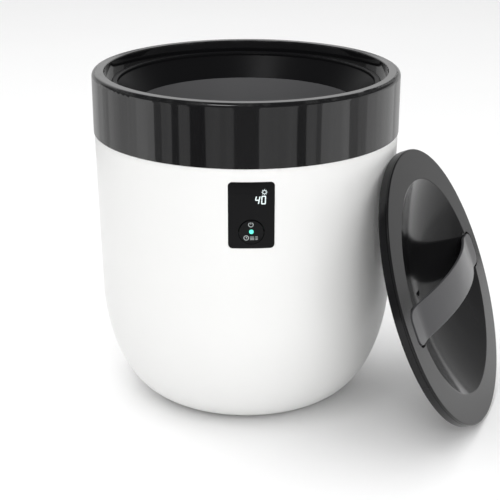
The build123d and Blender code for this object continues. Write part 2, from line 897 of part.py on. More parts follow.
with BuildPart() as control_board_screws:
    with Locations(Plane.XZ.offset(board_front - board_thickness)):
        with Locations((0, panel_centre)):
            with GridLocations(2 * control_post_x, 2 * control_post_y, 2, 2):
                pan_screw(board_thickness + screw_grip - part_gap)
save(control_board_screws.part, "control_board_screws")

with BuildPart() as tact_switches:
    with BuildSketch(Plane.XZ.offset(board_front)):
        with Locations((0, rocker_height)):
            with GridLocations(0, 2 * post_offset, 1, 2):
                Rectangle(switch_size, switch_size)
    extrude(amount=switch_body)
    with BuildSketch(Plane.XZ.offset(board_front + switch_body)):
        with Locations((0, rocker_height)):
            with GridLocations(0, 2 * post_offset, 1, 2):
                Circle(plunger_radius)
    extrude(amount=plunger_height)
save(tact_switches.part, "tact_switches")

with BuildPart() as light_pipe:
    with BuildSketch(Plane.XZ.offset(board_front)):
        with Locations((0, rocker_height)):
            Circle(pipe_radius)
    extrude(amount=rocker_face - rocker_rim_height - board_front)
    fillet(light_pipe.edges().group_by(Axis.Y)[0], radius=pipe_radius / 5)
save(light_pipe.part, "light_pipe")

post_end = board_front + switch_body + plunger_height + switch_gap

with BuildPart() as rocker_button:
    with BuildSketch(Plane.XZ.offset(rocker_face - rocker_cap)):
        with Locations((0, rocker_height)):
            Circle(rocker_radius)
    extrude(amount=rocker_cap)
    fillet(rocker_button.edges().group_by(Axis.Y)[0], radius=rocker_edge_round)
    with BuildSketch(Plane.XZ.offset(rocker_face)):
        with Locations((0, rocker_height)):
            Circle(rocker_radius - rocker_rim_width)
    extrude(amount=-rocker_rim_height, mode=Mode.SUBTRACT)
    with BuildSketch(Plane.XZ.offset(rocker_back)):
        with Locations((0, rocker_height)):
            Circle(rocker_skirt_radius)
            Circle(rocker_skirt_radius - rocker_skirt, mode=Mode.SUBTRACT)
    extrude(amount=rocker_neck)
    with BuildSketch(Plane.XZ.offset(post_end)):
        with Locations((0, rocker_height)):
            with GridLocations(0, 2 * post_offset, 1, 2):
                Circle(post_radius)
    extrude(amount=rocker_face - rocker_cap - post_end)
    with BuildSketch(Plane.YZ.offset(rocker_skirt_radius - rocker_skirt / 2)):
        with Locations((-rocker_pivot, rocker_height)):
            Circle(pin_radius)
    extrude(amount=rocker_skirt / 2 + rocker_inset + rocker_gap + pin_reach)
    mirror(about=Plane.YZ)
    with BuildSketch(Plane.XZ.offset(rocker_back)):
        with Locations((0, rocker_height)):
            Circle(pipe_radius + pipe_gap)
    extrude(amount=rocker_cap + rocker_neck, mode=Mode.SUBTRACT)
save(rocker_button.part, "rocker_button")

cable_top = panel_centre - control_board_height / 2 + cable_width
cable_depth = board_front - board_thickness - cable_thickness / 2
cable_low = board_top + cable_thickness / 2

with BuildPart() as panel_cable:
    with BuildSketch(Plane.YZ):
        with BuildLine():
            FilletPolyline(
                (-cable_depth, cable_top),
                (-cable_depth, cable_turn_high),
                (-base_radius - cable_turn_reach, cable_low),
                (cable_run - power_board_width / 2, cable_low),
                radius=cable_bend,
            )
        trace(line_width=cable_thickness)
    extrude(amount=cable_width / 2, both=True)
save(panel_cable.part, "panel_cable")

# Lid, built in its own plane: its top face is level with the plane, x runs along the handle.
# It leans with its lower edge on the floor and the far edge of its underside on the wall.

lean = radians(lean_tilt)
edge_depth = lid_thickness - lid_edge_round
edge_reach = lid_radius - lid_edge_round
lid_centre_height = edge_reach * cos(lean) + edge_depth * sin(lean) + lid_edge_round
contact_height = lid_centre_height - edge_depth * sin(lean) + edge_reach * cos(lean)
wall_radius = collar_radius if contact_height > shell_top else shell_radius(contact_height)
lid_distance = (
    wall_radius + part_gap + lid_edge_round + edge_depth * cos(lean) + edge_reach * sin(lean)
)
azimuth = radians(lean_azimuth)
lid_plane = Plane(
    origin=(lid_distance * cos(azimuth), lid_distance * sin(azimuth), lid_centre_height),
    x_dir=(-sin(azimuth), cos(azimuth), 0),
    z_dir=(cos(lean) * cos(azimuth), cos(lean) * sin(azimuth), sin(lean)),
).rotated((0, 0, handle_turn))
lid_section = Plane(
    origin=lid_plane.origin, x_dir=lid_plane.x_dir, z_dir=lid_plane.y_dir * -1
)
lid_axis = Axis(lid_plane.origin, lid_plane.z_dir)

dish_sphere = (dish_radius**2 + dish_depth**2) / (2 * dish_depth)
dish_rise = dish_sphere - dish_depth
dish_back_sphere = dish_sphere + lid_wall
dome_inner = dish_back_sphere + foam_thickness + 2 * fit_gap
dome_outer = dome_inner + lid_wall
base_inner_face = lid_wall - lid_thickness
skirt_radius = lid_radius - lid_wall - part_gap
tray_floor = handle_seat - handle_thickness
tray_under = tray_floor - pocket_floor
pad_floor = lid_counterbore - lid_thickness
boss_foot = pad_floor + lid_wall
handle_boss_reach = handle_half_length - handle_tongue / 2


def sphere_reach(radius, depth):
    """Radius at which a sphere about the dish's centre meets a level of the lid."""
    return sqrt(radius**2 - (dish_rise - depth) ** 2)


with BuildPart() as lid_top:
    with BuildSketch(lid_section):
        with BuildLine():
            RadiusArc((dish_radius, 0), (0, -dish_depth), dish_sphere)
            Polyline((0, -dish_depth), (0, -dish_depth - lid_wall))
            RadiusArc(
                (0, -dish_depth - lid_wall),
                (sphere_reach(dish_back_sphere, -lid_wall), -lid_wall),
                -dish_back_sphere,
            )
            Polyline(
                (sphere_reach(dish_back_sphere, -lid_wall), -lid_wall),
                (skirt_radius - lid_wall, -lid_wall),
                (skirt_radius - lid_wall, -lid_wall - lid_skirt),
                (skirt_radius, -lid_wall - lid_skirt),
                (skirt_radius, -lid_wall),
                (lid_radius, -lid_wall),
                (lid_radius, 0),
                (dish_radius, 0),
            )
        make_face()
    revolve(axis=lid_axis)
    # Dished edge and outer edge of the top face
    top_edges = lid_top.edges().filter_by(GeomType.CIRCLE).sort_by(lid_axis)
    dish_edge = top_edges.filter_by(lambda edge: abs(edge.radius - dish_radius) < fit_gap)
    fillet(dish_edge, radius=dish_edge_round)
    rim_edge = lid_top.edges().filter_by(GeomType.CIRCLE).sort_by(lid_axis)
    rim_edge = rim_edge.filter_by(lambda edge: abs(edge.radius - lid_radius) < fit_gap)
    fillet(rim_edge[-1], radius=lid_edge_round)
    # Bosses for the screws that hold the two shells together
    with BuildSketch(lid_plane.offset(boss_foot)):
        with PolarLocations(lid_screw_circle, lid_screw_count, lid_screw_start):
            Circle(lid_boss_radius)
    extrude(amount=-lid_wall / 2 - boss_foot)
    with BuildSketch(lid_plane.offset(boss_foot)):
        with PolarLocations(lid_screw_circle, lid_screw_count, lid_screw_start):
            Circle(pilot_radius)
    extrude(amount=-lid_wall - boss_foot, mode=Mode.SUBTRACT)
    # Trays that carry the ends of the handle, then the pockets sunk into them
    with BuildSketch(lid_plane.offset(tray_under)):
        RectangleRounded(
            2 * (handle_half_length + pocket_gap + lid_wall),
            handle_width + 2 * (pocket_gap + lid_wall),
            handle_corner + pocket_gap + lid_wall,
        )
        Circle(sphere_reach(dish_sphere, tray_floor), mode=Mode.SUBTRACT)
    extrude(amount=-lid_wall / 2 - tray_under)
    with BuildSketch(lid_plane.offset(tray_floor)):
        RectangleRounded(
            2 * (handle_half_length + pocket_gap),
            handle_width + 2 * pocket_gap,
            handle_corner + pocket_gap,
        )
    extrude(amount=2 * handle_thickness, mode=Mode.SUBTRACT)
    with BuildSketch(lid_plane.offset(tray_under)):
        with GridLocations(2 * handle_boss_reach, 0, 2, 1):
            Circle(handle_boss_radius + fit_gap)
    extrude(amount=2 * pocket_floor, mode=Mode.SUBTRACT)
save(lid_top.part, "lid_top")

handle_middle = handle_seat - handle_thickness / 2
handle_foot = handle_half_length - handle_tongue
handle_lift = handle_rise - handle_seat
# Slope where the bend at each foot meets the arch, so that the arch peaks at the middle
handle_slope = 2 * atan(handle_lift / handle_foot)
handle_arch = handle_foot / sin(handle_slope) - handle_bend

with BuildPart() as lid_handle:
    with BuildSketch(lid_section):
        with BuildLine():
            tongue = Line((-handle_half_length, handle_middle), (-handle_foot, handle_middle))
            bend = JernArc(tongue @ 1, tongue % 1, handle_bend, degrees(handle_slope))
            arch = JernArc(bend @ 1, bend % 1, handle_arch, -2 * degrees(handle_slope))
            far_bend = JernArc(arch @ 1, arch % 1, handle_bend, degrees(handle_slope))
            Line(far_bend @ 1, (handle_half_length, handle_middle))
        trace(line_width=handle_thickness)
    extrude(amount=handle_width / 2, both=True)
    with BuildSketch(lid_plane.offset(-handle_thickness)):
        RectangleRounded(2 * handle_half_length, handle_width, handle_corner)
    extrude(amount=handle_rise + 2 * handle_thickness, mode=Mode.INTERSECT)
    across = lid_handle.edges().filter_by(Axis(lid_plane.origin, lid_plane.y_dir))
    upright = lid_handle.edges().filter_by(lid_axis)
    fillet(lid_handle.edges() - across - upright, radius=handle_edge_round)
    with BuildSketch(lid_plane.offset(tray_under + fit_gap)):
        with GridLocations(2 * handle_boss_reach, 0, 2, 1):
            Circle(handle_boss_radius)
    extrude(amount=handle_middle - tray_under - fit_gap)
    with BuildSketch(lid_plane.offset(tray_under + fit_gap)):
        with GridLocations(2 * handle_boss_reach, 0, 2, 1):
            Circle(pilot_radius)
    extrude(amount=handle_middle - tray_under, mode=Mode.SUBTRACT)
save(lid_handle.part, "lid_handle")

handle_screw_head = handle_boss_radius + screw_head_height

with BuildPart() as handle_screws:
    with Locations(lid_plane.offset(tray_under)):
        with GridLocations(2 * handle_boss_reach, 0, 2, 1):
            pan_screw(handle_middle - tray_under - part_gap, handle_screw_head)
save(handle_screws.part, "handle_screws")

with BuildPart() as lid_insulation:
    foam_outer = dish_back_sphere + fit_gap + foam_thickness
    foam_inner = dish_back_sphere + fit_gap
    foam_reach = dish_radius - 4 * foam_thickness
    foam_depth = dish_rise - sqrt(foam_inner**2 - foam_reach**2)
    foam_low = dish_rise - sqrt(foam_outer**2 - foam_reach**2)
    with BuildSketch(lid_section):
        with BuildLine():
            RadiusArc((foam_reach, foam_depth), (0, dish_rise - foam_inner), foam_inner)
            Line((0, dish_rise - foam_inner), (0, dish_rise - foam_outer))
            RadiusArc((0, dish_rise - foam_outer), (foam_reach, foam_low), -foam_outer)
            Line((foam_reach, foam_low), (foam_reach, foam_depth))
        make_face()
    revolve(axis=lid_axis)
save(lid_insulation.part, "lid_insulation")

seal_centre = (bead_outer + bead_inner) / 2
seal_inner = seal_centre - lid_seal_width / 2
seal_outer = seal_centre + lid_seal_width / 2

with BuildPart() as lid_base:
    with BuildSketch(lid_section):
        with BuildLine():
            RadiusArc(
                (sphere_reach(dome_inner, base_inner_face), base_inner_face),
                (0, dish_rise - dome_inner),
                dome_inner,
            )
            Line((0, dish_rise - dome_inner), (0, dish_rise - dome_outer))
            RadiusArc(
                (0, dish_rise - dome_outer),
                (sphere_reach(dome_outer, -lid_thickness), -lid_thickness),
                -dome_outer,
            )
            Polyline(
                (sphere_reach(dome_outer, -lid_thickness), -lid_thickness),
                (lid_radius, -lid_thickness),
                (lid_radius, -lid_wall - lid_groove),
                (lid_radius - lid_wall, -lid_wall - lid_groove),
                (lid_radius - lid_wall, base_inner_face),
                (sphere_reach(dome_inner, base_inner_face), base_inner_face),
            )
        make_face()
    revolve(axis=lid_axis)
    low_edge = lid_base.edges().filter_by(GeomType.CIRCLE).sort_by(lid_axis)
    low_edge = low_edge.filter_by(lambda edge: abs(edge.radius - lid_radius) < fit_gap)
    fillet(low_edge[0], radius=lid_edge_round)
    with BuildSketch(lid_plane.offset(base_inner_face - lid_wall / 2)):
        with PolarLocations(lid_screw_circle, lid_screw_count, lid_screw_start):
            Circle(lid_boss_radius + part_gap)
    extrude(amount=boss_foot - base_inner_face + lid_wall / 2)
    with BuildSketch(lid_plane.offset(-lid_thickness)):
        with PolarLocations(lid_screw_circle, lid_screw_count, lid_screw_start):
            Circle(screw_head_radius + part_gap)
    extrude(amount=lid_counterbore, mode=Mode.SUBTRACT)
    with BuildSketch(lid_plane.offset(-lid_thickness)):
        with PolarLocations(lid_screw_circle, lid_screw_count, lid_screw_start):
            Circle(clear_radius)
    extrude(amount=2 * lid_wall, mode=Mode.SUBTRACT)
    with BuildSketch(lid_plane.offset(-lid_thickness)):
        Circle(seal_outer)
        Circle(seal_inner, mode=Mode.SUBTRACT)
    extrude(amount=lid_seal_depth, mode=Mode.SUBTRACT)
save(lid_base.part, "lid_base")

with BuildPart() as lid_seal:
    with BuildSketch(lid_plane.offset(lid_seal_depth - lid_thickness)):
        Circle(seal_outer - fit_gap)
        Circle(seal_inner + fit_gap, mode=Mode.SUBTRACT)
    extrude(amount=-lid_seal_depth - lid_seal_proud)
    fillet(lid_seal.edges().sort_by(lid_axis)[0:2], radius=lid_seal_proud)
save(lid_seal.part, "lid_seal")

with BuildPart() as lid_screws:
    with Locations(lid_plane.offset(pad_floor)):
        with PolarLocations(lid_screw_circle, lid_screw_count, lid_screw_start):
            pan_screw(-lid_wall - pad_floor - part_gap)
save(lid_screws.part, "lid_screws")
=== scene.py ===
import json
from math import cos, pi, radians, sin, sqrt

import bmesh
import bpy
from mathutils import Matrix, Vector


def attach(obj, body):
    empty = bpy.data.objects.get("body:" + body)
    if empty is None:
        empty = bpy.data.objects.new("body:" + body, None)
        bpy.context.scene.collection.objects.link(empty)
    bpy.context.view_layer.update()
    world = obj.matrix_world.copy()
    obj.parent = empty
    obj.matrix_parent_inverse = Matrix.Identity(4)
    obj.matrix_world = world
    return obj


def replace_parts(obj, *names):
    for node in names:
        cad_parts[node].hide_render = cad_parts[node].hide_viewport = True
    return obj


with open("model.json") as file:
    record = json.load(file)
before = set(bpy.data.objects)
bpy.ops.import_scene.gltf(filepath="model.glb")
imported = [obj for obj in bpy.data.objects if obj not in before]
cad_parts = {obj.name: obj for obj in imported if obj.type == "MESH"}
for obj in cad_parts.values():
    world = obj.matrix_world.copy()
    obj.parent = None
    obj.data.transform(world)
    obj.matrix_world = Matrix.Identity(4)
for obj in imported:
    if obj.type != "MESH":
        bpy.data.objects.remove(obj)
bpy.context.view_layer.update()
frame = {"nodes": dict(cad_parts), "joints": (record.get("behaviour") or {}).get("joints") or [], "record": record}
nodes = frame["nodes"]
print("frame loaded:", len(nodes), "nodes")

mm = 0.001


# Shader maths: a Wire is a socket, and sums and products of wires add Math nodes


class Wire:
    def __init__(self, patch, socket):
        self.patch = patch
        self.socket = socket

    def maths(self, operation, *values):
        return self.patch.node("Math", {"operation": operation}, dict(enumerate(values)))[0]

    def angle(self, other):
        return self.maths("ARCTAN2", self, other)

    def __add__(self, other):
        return self.maths("ADD", self, other)

    def __radd__(self, other):
        return self.maths("ADD", other, self)

    def __sub__(self, other):
        return self.maths("SUBTRACT", self, other)

    def __rsub__(self, other):
        return self.maths("SUBTRACT", other, self)

    def __mul__(self, other):
        return self.maths("MULTIPLY", self, other)

    def __truediv__(self, other):
        return self.maths("DIVIDE", self, other)

    def __pow__(self, other):
        return self.maths("POWER", self, other)

    def __gt__(self, other):
        return self.maths("GREATER_THAN", self, other)

    def __lt__(self, other):
        return self.maths("LESS_THAN", self, other)

    def __abs__(self):
        return self.maths("ABSOLUTE", self)

    def wave(self):
        return self.maths("SINE", self)

    def part(self):
        return self.maths("FRACT", self)


class Outputs:
    # A node's outputs as wires, by number or name
    def __init__(self, patch, made):
        self.patch = patch
        self.made = made

    def __getitem__(self, key):
        return Wire(self.patch, self.made.outputs[key])


class Patch:
    # A node tree that is filled with nodes through one method
    def __init__(self, tree):
        self.tree = tree

    def feed(self, socket, value):
        if isinstance(value, Wire):
            self.tree.links.new(value.socket, socket)
        elif socket.type == "RGBA" and len(value) == 3:
            socket.default_value = (*value, 1)
        else:
            socket.default_value = value

    def node(self, kind, settings=None, inputs=None):
        made = self.tree.nodes.new("ShaderNode" + kind)
        for key, value in (settings or {}).items():
            setattr(made, key, value)
        for key, value in (inputs or {}).items():
            self.feed(made.inputs[key], value)
        return Outputs(self, made)

    def place(self, stretch=(1, 1, 1), turn=(0, 0, 0)):
        here = self.node("TexCoord")["Object"]
        return self.node("Mapping", None, {"Vector": here, "Rotation": turn, "Scale": stretch})[0]

    def axes(self, where):
        parts = self.node("SeparateXYZ", None, {0: where})
        return [parts[name] for name in "XYZ"]

    def noise(self, where, scale, detail, roughness=0.5):
        inputs = {"Vector": where, "Scale": scale, "Detail": detail, "Roughness": roughness}
        return self.node("TexNoise", None, inputs)[0]

    def cells(self, where, scale, feature="F1"):
        return self.node("TexVoronoi", {"feature": feature}, {"Vector": where, "Scale": scale})[0]

    def mix(self, share, first, second):
        return self.node("Mix", {"data_type": "RGBA"}, {0: share, 6: first, 7: second})[2]

    def ramp(self, value, stops, steps="LINEAR"):
        ramp = self.node("ValToRGB", None, {0: value})
        colours = ramp.made.color_ramp
        colours.interpolation = steps
        while len(colours.elements) < len(stops):
            colours.elements.new(0.5)
        for element, (spot, level) in zip(colours.elements, stops):
            element.position = spot
            element.color = (level, level, level, 1)
        return ramp[0]

    def fade(self, value, low, high):
        # 0 at low, 1 at high
        return self.node("MapRange", None, {0: value, 1: low, 2: high})[0]


class Finish(Patch):
    # One material: its shader, and the nodes that feed it
    def __init__(self, name, colour, roughness, **settings):
        self.material = bpy.data.materials.new(name)
        self.material.use_nodes = True
        super().__init__(self.material.node_tree)
        self.shader = self.tree.nodes["Principled BSDF"]
        self.material.diffuse_color = (*colour, 1)
        self.set(Base_Color=colour, Roughness=roughness, **settings)

    def set(self, **values):
        for name, value in values.items():
            self.feed(self.shader.inputs[name.replace("_", " ")], value)

    def bump(self, height, strength, distance):
        inputs = {"Height": height, "Strength": strength, "Distance": distance}
        self.set(Normal=self.node("Bump", None, inputs)[0])


def shade(colour, amount):
    return tuple(min(1, c * amount) for c in colour)


# Makers of finishes: the values that all finishes of a kind share stand above its maker


def rimMask(made):
    # The top edge of the collar, rubbed by the lid
    x, y, z = made.axes(made.place())
    radius = (x * x + y * y) ** 0.5
    edge = (z > rimScuff["height"]) * (radius > rimScuff["radius"])
    return edge * made.ramp(made.noise(made.place(), rimScuff["scale"], 6, 0.7), rimScuff["patches"])


def baseMask(made):
    # Dust and rubbing low on the base
    z = made.axes(made.place())[2]
    low = made.fade(z, baseScuff["height"], 0.0)
    return low * made.ramp(made.noise(made.place(), baseScuff["scale"], 6, 0.7), baseScuff["patches"])


rimScuff = {
    "mask": rimMask,
    "height": 362.5 * mm,
    "radius": 151.0 * mm,
    "scale": 60,
    "patches": [(0.5, 0), (0.7, 1)],
    "amount": 0.5,
    "colour": (0.05, 0.05, 0.05),
    "rough": 0.25,
}
baseScuff = {
    "mask": baseMask,
    "height": 60.0 * mm,
    "scale": 34,
    "patches": [(0.42, 0), (0.75, 1)],
    "amount": 0.4,
    "colour": (0.07, 0.068, 0.064),
    "rough": 0.2,
}

moulded = {
    "cloud": 14,
    "smear": 38,
    "smearStretch": (1, 1, 0.25),
    "scratchStretch": (14, 900, 900),
    "scratchTurn": (0.5, 0.3, 0.9),
    "scratchAbove": 0.66,
    "scratchRough": 0.04,
    "depth": 0.08 * mm,
}


def plastic(name, colour, roughness, grain, skin, mottle=0.1, gloss=0.1, scuff=None, **settings):
    # Faint mottling, hand smears in the gloss, fine scratches and a moulded skin
    made = Finish(name, colour, roughness, **settings)
    where = made.place()
    cloud = made.noise(where, moulded["cloud"], 4)
    smear = made.noise(made.place(moulded["smearStretch"]), moulded["smear"], 5, 0.65)
    height = made.noise(where, grain, 2)
    scratch = made.noise(made.place(moulded["scratchStretch"], moulded["scratchTurn"]), 1, 2, 0.4)
    marks = (scratch > moulded["scratchAbove"]) * moulded["scratchRough"]
    tone = made.mix(cloud, shade(colour, 1 - mottle), shade(colour, 1 + mottle))
    if scuff:
        mask = scuff["mask"](made)
        tone = made.mix(mask * scuff["amount"], tone, scuff["colour"])
        marks = marks + mask * scuff["rough"]
    made.set(Base_Color=tone, Roughness=roughness + (smear - 0.5) * gloss + marks)
    made.bump(height, skin, moulded["depth"])
    return made.material


spun = {
    "cloud": 9,
    "cloudStretch": (1, 1, 0.3),
    "darker": 0.9,
    "lighter": 1.1,
    "ringGloss": 0.18,
    "cloudGloss": 0.1,
    "depth": 0.1 * mm,
}


def spunMetal(name, colour, roughness, rings, skin, metal):
    # Turned or drawn metal: fine rings round an upright axis, with broad soft bands in the gloss
    made = Finish(name, colour, roughness, Metallic=metal)
    z = made.axes(made.place())[2]
    turned = made.noise(made.node("CombineXYZ", None, {2: z})[0], rings, 4, 0.7)
    cloud = made.noise(made.place(spun["cloudStretch"]), spun["cloud"], 4)
    made.set(
        Base_Color=made.mix(cloud, shade(colour, spun["darker"]), shade(colour, spun["lighter"])),
        Roughness=roughness + (turned - 0.5) * spun["ringGloss"] + (cloud - 0.5) * spun["cloudGloss"],
    )
    made.bump(turned, skin, spun["depth"])
    return made.material


sheet = {"cloud": 22, "brushed": 3, "darker": 0.86, "lighter": 1.08, "gloss": 0.2, "depth": 0.06 * mm}


def sheetMetal(name, colour, roughness, skin, brush=(8, 260, 260)):
    # Brushed or plated metal
    made = Finish(name, colour, roughness, Metallic=1.0)
    brushed = made.noise(made.place(brush), sheet["brushed"], 4, 0.6)
    cloud = made.noise(made.place(), sheet["cloud"], 4)
    made.set(
        Base_Color=made.mix(cloud, shade(colour, sheet["darker"]), shade(colour, sheet["lighter"])),
        Roughness=roughness + (brushed - 0.5) * sheet["gloss"],
    )
    made.bump(brushed, skin, sheet["depth"])
    return made.material


cast = {"pits": 900, "cloud": 60, "darker": 0.72, "lighter": 1.1, "gloss": 0.25, "depth": 0.2 * mm}


def castMetal(name, colour, roughness, skin):
    # Cloudy and pitted, as a mould leaves it
    made = Finish(name, colour, roughness, Metallic=1.0)
    where = made.place()
    pits = made.cells(where, cast["pits"])
    cloud = made.noise(where, cast["cloud"], 5, 0.6)
    made.set(
        Base_Color=made.mix(cloud, shade(colour, cast["darker"]), shade(colour, cast["lighter"])),
        Roughness=roughness + (cloud - 0.5) * cast["gloss"],
    )
    made.bump(pits + cloud, skin, cast["depth"])
    return made.material


soft = {"bloom": 45, "grain": 2600, "darker": 0.75, "lighter": 1.5, "gloss": 0.15, "depth": 0.1 * mm}


def rubber(name, colour, roughness, skin):
    # A pale bloom over a fine grain
    made = Finish(name, colour, roughness)
    where = made.place()
    bloom = made.noise(where, soft["bloom"], 5, 0.6)
    grain = made.noise(where, soft["grain"], 2)
    made.set(
        Base_Color=made.mix(bloom, shade(colour, soft["darker"]), shade(colour, soft["lighter"])),
        Roughness=roughness + (bloom - 0.5) * soft["gloss"],
    )
    made.bump(grain, skin, soft["depth"])
    return made.material


fibres = {
    "roughness": 0.95,
    "fibre": 420,
    "fibreStretch": (1, 1, 3),
    "tufts": 160,
    "tuftShare": 0.6,
    "darker": 0.7,
    "lighter": 1.12,
    "depth": 0.9 * mm,
}


def felt(name, colour, skin):
    # Needled fibre blanket or foam
    made = Finish(name, colour, fibres["roughness"])
    where = made.place()
    fibre = made.noise(made.place(fibres["fibreStretch"]), fibres["fibre"], 6, 0.75)
    tufts = made.cells(where, fibres["tufts"])
    tone = made.mix(fibre, shade(colour, fibres["darker"]), shade(colour, fibres["lighter"]))
    made.set(Base_Color=tone)
    made.bump(fibre + tufts * fibres["tuftShare"], skin, fibres["depth"])
    return made.material


heating = {
    "radius": 122.0 * mm,
    "weave": 5200,
    "weaveGloss": 0.06,
    "weaveSkin": 0.25,
    "turns": 55,
    "trackWidth": 0.12,
    "trackShade": 0.72,
    "roughness": 0.55,
    "skin": 0.4,
    "depth": 0.3 * mm,
}


def heatCloth(name, colour):
    # Silicone laid on glass cloth, with the heating track showing through as raised rings
    made = Finish(name, colour, heating["roughness"])
    x, y, z = made.axes(made.place())
    around = y.angle(x) * heating["radius"]
    weave = (around * heating["weave"]).wave() * (z * heating["weave"]).wave()
    track = abs((z * heating["turns"]).part() - 0.5) < heating["trackWidth"]
    made.set(
        Base_Color=made.mix(track, colour, shade(colour, heating["trackShade"])),
        Roughness=heating["roughness"] + weave * heating["weaveGloss"],
    )
    made.bump(weave * heating["weaveSkin"] + track, heating["skin"], heating["depth"])
    return made.material


board = {
    "pitch": 390,
    "trackStretch": (1, 0.35, 1),
    "trackWidth": 0.05,
    "trackShade": 1.7,
    "padReach": 0.16,
    "padScale": 140,
    "padAbove": 0.56,
    "padColour": (0.75, 0.73, 0.68),
    "padMetal": 0.9,
    "padGloss": 0.1,
    "roughness": 0.35,
    "skin": 0.3,
    "depth": 0.05 * mm,
}


def circuitBoard(name, colour):
    # Solder mask over copper tracks, with bare pads in a grid
    made = Finish(name, colour, board["roughness"])
    x, y, z = made.axes(made.place())
    across = x * board["pitch"]
    along = (y + z) * board["pitch"]
    tracks = made.cells(made.place(board["trackStretch"]), board["pitch"] / 2, "DISTANCE_TO_EDGE")
    line = tracks < board["trackWidth"]
    column = abs(across.part() - 0.5) < board["padReach"]
    row = abs(along.part() - 0.5) < board["padReach"]
    some = made.noise(made.place(), board["padScale"], 1) > board["padAbove"]
    pads = column * row * some
    base = made.mix(line, colour, shade(colour, board["trackShade"]))
    made.set(
        Base_Color=made.mix(pads, base, board["padColour"]),
        Roughness=board["roughness"] - pads * board["padGloss"],
        Metallic=pads * board["padMetal"],
    )
    made.bump(line + pads, board["skin"], board["depth"])
    return made.material


lit = {"roughness": 0.25, "cloud": 900, "darker": 0.93}


def glow(name, colour, strength, base=(0.02, 0.02, 0.02)):
    # A lit lens or digit, faintly uneven; it also gives printed marks that are no lamp a painted glow
    made = Finish(name, base, lit["roughness"])
    cloud = made.noise(made.place(), lit["cloud"], 2)
    shine = made.mix(cloud, shade(colour, lit["darker"]), colour)
    made.set(Emission_Color=shine, Emission_Strength=strength)
    return made.material


# The finish of each material slot

finishes = {
    "shell_white": plastic(
        "shellWhite", (0.86, 0.86, 0.85), 0.33, grain=1500, skin=0.05, mottle=0.012, gloss=0.08
    ),
    "collar_black": plastic(
        "collarBlack",
        (0.006, 0.006, 0.0065),
        0.07,
        grain=900,
        skin=0.01,
        gloss=0.04,
        scuff=rimScuff,
        Coat_Weight=1.0,
        Coat_Roughness=0.04,
    ),
    "throat_black": plastic(
        "throatBlack",
        (0.004, 0.004, 0.0045),
        0.34,
        grain=1400,
        skin=0.03,
        mottle=0.12,
        gloss=0.05,
        Specular_IOR_Level=0.22,
    ),
    "lid_black": plastic(
        "lidBlack",
        (0.009, 0.009, 0.0095),
        0.13,
        grain=900,
        skin=0.015,
        gloss=0.05,
        Specular_IOR_Level=0.22,
    ),
    "handle_grey": plastic(
        "handleGrey", (0.055, 0.055, 0.058), 0.3, grain=2200, skin=0.12, mottle=0.06, gloss=0.08
    ),
    "panel_black": plastic(
        "panelBlack",
        (0.003, 0.003, 0.0035),
        0.1,
        grain=600,
        skin=0.01,
        gloss=0.04,
        Specular_IOR_Level=0.12,
    ),
    "key_black": plastic(
        "keyBlack",
        (0.003, 0.003, 0.0035),
        0.14,
        grain=900,
        skin=0.02,
        gloss=0.05,
        Specular_IOR_Level=0.14,
    ),
    "base_black": plastic(
        "baseBlack", (0.02, 0.02, 0.021), 0.55, grain=1900, skin=0.45, scuff=baseScuff
    ),
    "frame_black": plastic("frameBlack", (0.02, 0.02, 0.021), 0.5, grain=2300, skin=0.3),
    "relay_black": plastic("relayBlack", (0.012, 0.03, 0.09), 0.35, grain=2600, skin=0.2),
    "transformer_core": plastic(
        "transformerCore", (0.09, 0.075, 0.04), 0.6, grain=1200, skin=0.4, mottle=0.3, gloss=0.15
    ),
    "capacitor_sleeve": plastic(
        "capacitorSleeve", (0.01, 0.012, 0.04), 0.22, grain=700, skin=0.05, gloss=0.06
    ),
    "terminal_grey": plastic(
        "terminalGreen", (0.05, 0.2, 0.08), 0.45, grain=2100, skin=0.2, mottle=0.08
    ),
    "thermostat_body": plastic(
        "thermostatCeramic", (0.72, 0.66, 0.52), 0.4, grain=1800, skin=0.2, mottle=0.06
    ),
    "fuse_case": plastic("fuseCase", (0.62, 0.56, 0.44), 0.5, grain=2500, skin=0.2),
    "switch_body": plastic("switchBody", (0.02, 0.02, 0.02), 0.42, grain=3000, skin=0.2),
    "ribbon_grey": plastic(
        "ribbonGrey", (0.35, 0.35, 0.34), 0.45, grain=1800, skin=0.1, mottle=0.05
    ),
    "nut_black": plastic("nutBlack", (0.025, 0.025, 0.025), 0.5, grain=2600, skin=0.25),
    "display": plastic(
        "displayGlass", (0.008, 0.008, 0.009), 0.12, grain=900, skin=0.01, gloss=0.04
    ),
    "liner_grey": spunMetal(
        "linerAnodised", (0.2, 0.2, 0.205), 0.45, rings=420, skin=0.12, metal=0.4
    ),
    "sheet_steel": sheetMetal("sheetSteel", (0.56, 0.56, 0.57), 0.34, skin=0.12),
    "screw_steel": sheetMetal(
        "screwZinc", (0.5, 0.5, 0.52), 0.3, skin=0.25, brush=(30, 30, 2200)
    ),
    "probe_steel": sheetMetal(
        "probeSteel", (0.6, 0.6, 0.6), 0.22, skin=0.08, brush=(20, 20, 900)
    ),
    "cast_heater": castMetal("castHeater", (0.5, 0.5, 0.5), 0.5, skin=0.45),
    "silicone": rubber("siliconeDark", (0.02, 0.02, 0.021), 0.62, skin=0.25),
    "foot_rubber": rubber("footRubber", (0.014, 0.014, 0.014), 0.8, skin=0.5),
    "gland_black": rubber("glandRubber", (0.02, 0.02, 0.02), 0.7, skin=0.4),
    "felt": felt("feltBlanket", (0.72, 0.67, 0.56), skin=0.8),
    "foam": felt("foamShell", (0.78, 0.78, 0.75), skin=0.55),
    "heater_silicone": heatCloth("heaterSilicone", (0.45, 0.1, 0.045)),
    "board_green": circuitBoard("boardGreen", (0.012, 0.1, 0.04)),
    "indicator": glow("indicatorTeal", (0.1, 0.86, 0.62), 0.95, base=(0.1, 0.5, 0.42)),
}

